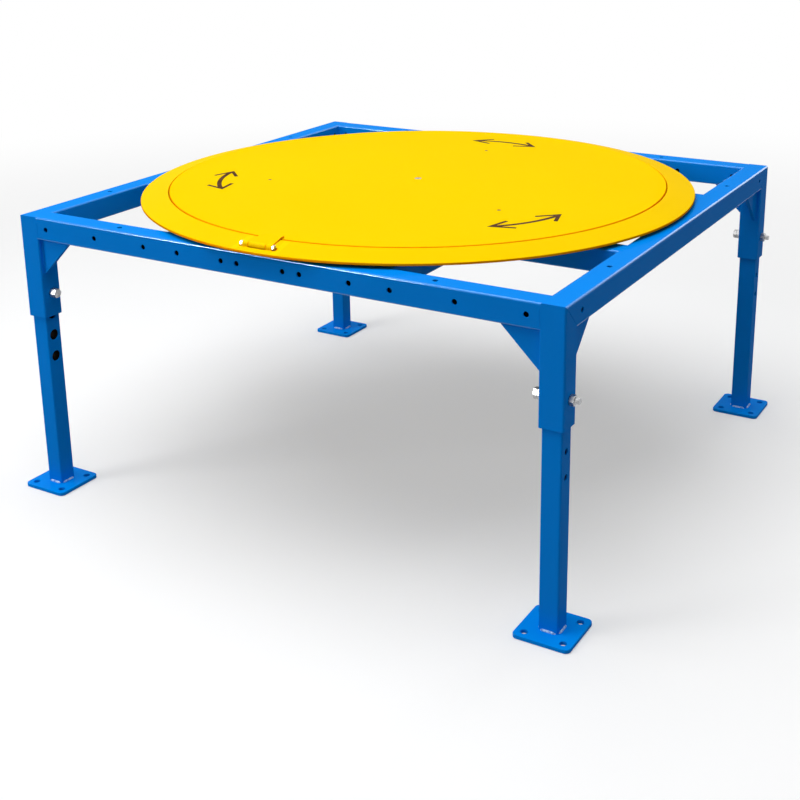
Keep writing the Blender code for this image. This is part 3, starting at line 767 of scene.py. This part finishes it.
def paintEdgeShadeAndBarrelLight(piece, steepness=edgeLook["cut"]):  # painted shade as orange on steep faces, painted light as a brighter yellow on the hinge barrel's round
    piece.data.materials.append(paintedEdgeShade)
    piece.data.materials.append(barrelLitYellow)
    for face in piece.data.polygons:
        off = piece.matrix_world @ face.center - latchAxis
        onBarrel = hypot(off.y, off.z) < latchLook["knuckle"] + gap and abs(off.x) < latchLook["width"]
        # painted light on the barrel's round; painted shade on the other steep faces
        if onBarrel and abs(face.normal.x) < edgeLook["barrelEnd"]:
            face.material_index = 2
        elif abs(face.normal.z) < steepness:
            face.material_index = 1


def makeDisc():
    size = unitLook["edgeRadius"]
    margin = unitLook["cutMargin"]
    recess = discTop - centreScrew["recess"] - 2 * gap
    shank, head = centreScrew["shank"] + 2 * gap, centreScrew["head"] + 2 * gap
    profile = [(shank, discBottom), (discRadius, discBottom)]
    profile += roundCorner(discRadius - size, discTop - size, size, 0, 90)
    profile += [(head, discTop), (head, recess), (shank, recess)]
    disc = plainObject("turntable_disc_skin", turned(profile, meshTools["ringSides"]))
    side = latchLook["width"] / 2 + unitLook["clearance"]
    inner = discRadius - latchLook["bite"] - unitLook["clearance"]
    places = screwPlaces()
    seat = discTop - raceScrew["recess"] - 2 * gap
    under, over = discBottom - margin, discTop + margin
    cuts = [boxMesh((-side, -discRadius - margin, under), (side, -inner, over)),
            rods(places, raceScrew["head"] + gap, seat, over),
            rods(places, raceScrew["shank"] + gap, under, over)]
    shape(disc, [(plainObject("tool", bm), "DIFFERENCE") for bm in cuts])
    finishPiece(disc, discYellow, "disc", ["turntable_disc"])
    # painted shade: the disc's rounded edge gets the orange, which reads as the groove
    paintEdgeShadeAndBarrelLight(disc, edgeLook["rounded"])


def makeTongue():
    edge = -latchAxis.y - discRadius
    level = discTop - latchAxis.z
    thick, root, chamfer = latchLook["thickness"], latchLook["root"], latchLook["tipChamfer"]
    under = level - thick
    lift = asin((level + latchLook["liftClearance"]) / hypot(edge, under)) - atan2(under, edge)
    tip = edge + latchLook["bite"]
    rootLevel = rampHeight(-latchAxis.y - root) - latchAxis.z
    outline = [(root, rootLevel), (edge, level), (tip - chamfer, level), (tip, level - chamfer),
               (tip, under), (edge, under), (root, rootLevel - thick)]
    place = Matrix.Translation(latchAxis) @ Matrix.Rotation(lift, 4, "X")

    def across(points, half):
        bm = stack([[(x, y, z) for y, z in points] for x in (-half, half)])
        bm.transform(place)
        return bm

    tongue = plainObject("latch_tongue_skin", across(outline, latchLook["width"] / 2))
    neckEnd = root + latchLook["overlap"]
    neck = [(0, 0), (0, -thick), (neckEnd, rootLevel - thick), (neckEnd, rootLevel)]
    half = latchLook["tongueKnuckle"] / 2
    barrel = knuckleRod(2 * half, 0, latchLook["knuckle"], latchLook["chamfer"])
    pinBore = knuckleRod(4 * half, 0, pinLook["radius"] + gap)
    shape(tongue, [(plainObject("tool", across(neck, half)), "UNION"), (plainObject("tool", barrel), "UNION"),
                   (plainObject("tool", pinBore), "DIFFERENCE")])
    finishPiece(tongue, yellow, "latch", ["latch_tongue"], latchLook["rounding"])
    paintEdgeShadeAndBarrelLight(tongue)


def socketScrew(node, look, material, body, place=(0, 0)):
    low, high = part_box(node)
    top, chamfer, socket = high.z, screwLook["chamfer"], look["socket"]
    radius, shank, underHead = look["head"], look["shank"], top - screwLook["headHeight"]
    profile = [(radius - chamfer, top), (radius, top - chamfer), (radius, underHead),
               (shank, underHead), (shank, low.z)]
    piece = plainObject(node + "_part", turned(profile, meshTools["boltSides"], closed=False))
    heights = (top - screwLook["socketDepth"], top + screwLook["cutAbove"])
    flats = stack([hexLoop(socket, height, socket) for height in heights])
    shape(piece, [(plainObject("tool", flats), "DIFFERENCE")])
    piece.data.transform(Matrix.Translation((*place, 0)))
    finishPiece(piece, material, body, [node])


def makeBasePlate():
    low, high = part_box("base_plate")
    bore = centreScrew["shank"]
    profile = [(bore, low.z), (high.x, low.z), (high.x, high.z), (bore, high.z)]
    plate = plainObject("base_plate_skin", turned(profile, meshTools["plateSides"]))
    finishPiece(plate, yellow, "stand", ["base_plate"], unitLook["plateRounding"])
    plate.data.materials.append(paintedEdgeShade)  # painted shade on its top, which shows only through the notch
    for face in plate.data.polygons:
        face.material_index = int(face.normal.z > edgeLook["plateTop"])


makeRing()
makeDisc()
makeTongue()
socketScrew("centre_screw", centreScrew, zinc, "stand")
for number, place in enumerate(screwPlaces(), 1):
    socketScrew(f"race_screw_{number}", raceScrew, blackened, "disc", place)
makeBasePlate()
print("turntable made")


arrowLook = {
    "radius": 0.448, "halfSpan": 11.8, "bow": 0.018, "headLean": 14, "stroke": 0.0105, "headLength": 0.050,
    "headWidth": 0.031, "barb": 0.0085, "overlap": 0.8, "steps": 24, "bottom": 0.00002, "top": 0.00012,
    "turns": (90, 210, 330),
}


def arrowPart(points, turn):  # a thin printed patch, closed
    low, high = discTop + arrowLook["bottom"], discTop + arrowLook["top"]
    bm = stack([raised(points, low), raised(points, high)])
    bm.transform(Matrix.Rotation(radians(turn), 4, "Z"))
    return bm


def makeArrow(number, turn):
    radius, bow, stroke = arrowLook["radius"], arrowLook["bow"], arrowLook["stroke"] / 2
    length, width, barb = arrowLook["headLength"], arrowLook["headWidth"], arrowLook["barb"]
    chord = radius * sin(radians(arrowLook["halfSpan"]))
    curve = (chord ** 2 + bow ** 2) / (2 * bow)
    half = asin(chord / curve)
    middle = radius * cos(radians(arrowLook["halfSpan"])) - curve * cos(half)
    spread = atan2(width, length)
    notch = barb / sin(spread)  # where the barbs' inner edges meet
    lineHalf = half - arrowLook["overlap"] * notch / curve
    steps = arrowLook["steps"]
    angles = [-lineHalf + 2 * lineHalf * k / steps for k in range(steps + 1)]
    outer = [(middle + (curve + stroke) * cos(a), (curve + stroke) * sin(a)) for a in angles]
    inner = [(middle + (curve - stroke) * cos(a), (curve - stroke) * sin(a)) for a in reversed(angles)]
    parts = [arrowPart(outer + inner, turn)]
    tail, side = -length - barb * sin(spread), width - barb * cos(spread)
    for way in (-1, 1):
        tip = Vector((middle + curve * cos(half), way * chord))
        lean = radians(arrowLook["headLean"])
        ahead = Vector((-sin(lean), way * cos(lean)))
        across = Vector((cos(lean), way * sin(lean)))
        spots = [(0, 0), (-length, width), (tail, side), (-notch, 0), (tail, -side), (-length, -width)]
        outline = [tuple(tip + ahead * along + across * off) for along, off in spots]
        parts.append(arrowPart(outline, turn))
    arrow = plainObject(f"rotation_arrow_{number}", parts[0])
    shape(arrow, [(plainObject("tool", bm), "UNION") for bm in parts[1:]])
    finishPiece(arrow, printed, "disc")


for number, turn in enumerate(arrowLook["turns"], 1):
    makeArrow(number, turn)
print("arrows made")


innerFinish = {"pivot_hub": steel, "lower_race": steel, "upper_race": steel, "pivot_bush": bronze,
               "ball_cage": nylon, "disc_collar": yellow}
for node, material in innerFinish.items():
    mesh = frame["nodes"][node].data
    mesh.materials.clear()
    mesh.materials.append(material)


stageLook = {
    "floorColour": (0.98, 0.98, 0.98), "bounceColour": (0.24, 0.24, 0.25), "floorRadius": 40.0,
    "floorSides": 96, "floorBottom": -0.02, "floorTop": -0.0004, "floorRoughness": 0.9, "fadeFrom": 1.2,
    "fadeTo": 4.5, "leastWhite": 0.3, "worldLevel": 0.20, "worldColour": (0.96, 0.98, 1.0), "aimHeight": 0.45,
}
lampLook = (
    {"name": "overhead", "place": (-0.3, -0.6, 4.2), "size": 4.0, "power": 168},
    {"name": "frontLeft", "place": (-3.4, -4.0, 2.6), "size": 1.8, "power": 74},
    {"name": "edgeGlint", "place": (-3.0, -4.4, 2.6), "size": 1.6, "power": 420, "glintOnly": True},
    {"name": "right", "place": (5.0, 1.6, 2.0), "size": 2.0, "power": 8},
    {"name": "rear", "place": (1.5, 5.5, 2.4), "size": 2.5, "power": 40},
)
cameraLook = {"place": (1.4633, -2.4782, 1.344), "azimuth": 30.287, "elevation": 16.049, "roll": -0.6,
              "lens": 57.517, "shift": (-0.0307, -0.2), "sensor": 36, "clip": 200}


def seenDirectly(tree):  # 1 for what the camera, gloss and glass look at
    path = tree.nodes.new("ShaderNodeLightPath")
    total = path.outputs["Is Camera Ray"]
    for name in ("Is Glossy Ray", "Is Transmission Ray"):
        add = tree.nodes.new("ShaderNodeMath")
        add.operation = "MAXIMUM"
        tree.links.new(total, add.inputs[0])
        tree.links.new(path.outputs[name], add.inputs[1])
        total = add.outputs[0]
    return total


def makeFloor():
    outline = ringOf(stageLook["floorRadius"], stageLook["floorSides"])
    faces = [raised(outline, stageLook[key]) for key in ("floorBottom", "floorTop")]
    floor = plainObject("floor", stack(faces))
    material = bpy.data.materials.new("paleFloor")
    material.use_nodes = True
    tree = material.node_tree
    shader = tree.nodes["Principled BSDF"]
    shader.inputs["Roughness"].default_value = stageLook["floorRoughness"]
    seen = seenDirectly(tree)
    colour = addMix(tree, seen, stageLook["bounceColour"], stageLook["floorColour"])
    tree.links.new(colour, shader.inputs["Base Color"])
    place = tree.nodes.new("ShaderNodeTexCoord")
    length = tree.nodes.new("ShaderNodeVectorMath")
    length.operation = "LENGTH"
    tree.links.new(place.outputs["Object"], length.inputs[0])
    fade = tree.nodes.new("ShaderNodeMapRange")
    fade.interpolation_type = "SMOOTHSTEP"
    fade.inputs["From Min"].default_value = stageLook["fadeFrom"]
    fade.inputs["From Max"].default_value = stageLook["fadeTo"]
    fade.inputs["To Min"].default_value = stageLook["leastWhite"]  # lightens the shadow on the floor
    tree.links.new(length.outputs["Value"], fade.inputs["Value"])
    share = tree.nodes.new("ShaderNodeMath")
    share.operation = "MULTIPLY"
    tree.links.new(fade.outputs["Result"], share.inputs[0])
    tree.links.new(seen, share.inputs[1])
    white = tree.nodes.new("ShaderNodeEmission")
    mix = tree.nodes.new("ShaderNodeMixShader")
    tree.links.new(share.outputs[0], mix.inputs["Fac"])
    tree.links.new(shader.outputs["BSDF"], mix.inputs[1])
    tree.links.new(white.outputs["Emission"], mix.inputs[2])
    tree.links.new(mix.outputs["Shader"], tree.nodes["Material Output"].inputs["Surface"])
    floor.data.materials.append(material)


def makeWorld():
    world = bpy.data.worlds.new("studio")
    world.use_nodes = True
    tree = world.node_tree
    soft = tree.nodes["Background"]
    soft.inputs["Color"].default_value = (*stageLook["worldColour"], 1.0)
    soft.inputs["Strength"].default_value = stageLook["worldLevel"]
    white = tree.nodes.new("ShaderNodeBackground")
    white.inputs["Color"].default_value = (1.0, 1.0, 1.0, 1.0)
    mix = tree.nodes.new("ShaderNodeMixShader")
    tree.links.new(seenDirectly(tree), mix.inputs["Fac"])
    tree.links.new(soft.outputs["Background"], mix.inputs[1])
    tree.links.new(white.outputs["Background"], mix.inputs[2])
    tree.links.new(mix.outputs["Shader"], tree.nodes["World Output"].inputs["Surface"])
    bpy.context.scene.world = world


def makeLamp(look):
    lamp = bpy.data.lights.new(look["name"], "AREA")
    lamp.energy = look["power"]
    lamp.size = look["size"]
    holder = bpy.data.objects.new(look["name"], lamp)
    bpy.context.scene.collection.objects.link(holder)
    holder.location = look["place"]
    holder.visible_diffuse = not look.get("glintOnly", False)
    aim = Vector((0, 0, stageLook["aimHeight"])) - Vector(look["place"])
    holder.rotation_euler = aim.to_track_quat("-Z", "Y").to_euler()


def makeCamera():
    az, el, roll = (radians(cameraLook[key]) for key in ("azimuth", "elevation", "roll"))
    ahead = Vector((-sin(az) * cos(el), cos(az) * cos(el), -sin(el)))
    right = Vector((cos(az), sin(az), 0))
    up = right.cross(ahead)
    across = right * cos(roll) + up * sin(roll)
    upright = up * cos(roll) - right * sin(roll)
    data = bpy.data.cameras.new("camera")
    data.lens = cameraLook["lens"]
    data.sensor_width = cameraLook["sensor"]
    data.shift_x, data.shift_y = cameraLook["shift"]
    data.clip_end = cameraLook["clip"]
    camera = bpy.data.objects.new("camera", data)
    bpy.context.scene.collection.objects.link(camera)
    axes = Matrix((across, upright, -ahead)).transposed().to_4x4()
    camera.matrix_world = Matrix.Translation(cameraLook["place"]) @ axes
    bpy.context.scene.camera = camera


makeFloor()
makeWorld()
for look in lampLook:
    makeLamp(look)
makeCamera()
bpy.context.scene.view_settings.view_transform = "Standard"
print("stage made")
